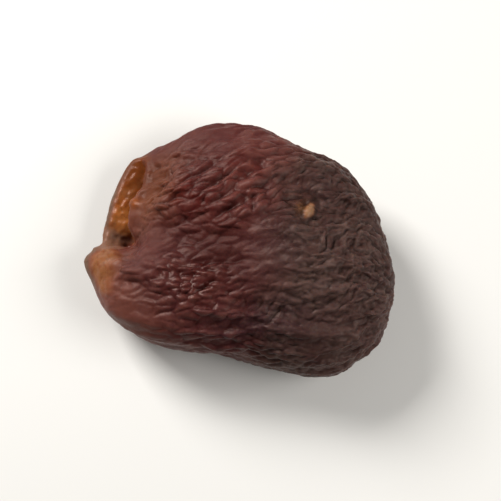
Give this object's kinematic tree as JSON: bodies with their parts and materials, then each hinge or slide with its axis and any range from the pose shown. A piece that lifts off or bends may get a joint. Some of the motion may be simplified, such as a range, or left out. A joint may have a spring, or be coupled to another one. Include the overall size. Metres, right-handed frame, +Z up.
{
  "type": "dried apricot",
  "caption": "Whole pitted dried apricot, dark and unsulphured, lying on its broad side: wrinkled leathery skin, stem end pressed open in amber lips, blossom end closed",
  "frame": {"origin": "middle of the bounding box seen from above, on the surface that the fruit lies on", "axes": "+X from the stem end's mouth to the blossom end, the longest way; +Y across the broad side; +Z up, the thinnest way"},
  "size_m": [0.0378, 0.03, 0.0134],
  "materials": {
    "dried_skin": "satin"
  },
  "bodies": {
    "root": {"apricot": "dried_skin"}
  },
  "joints": []
}
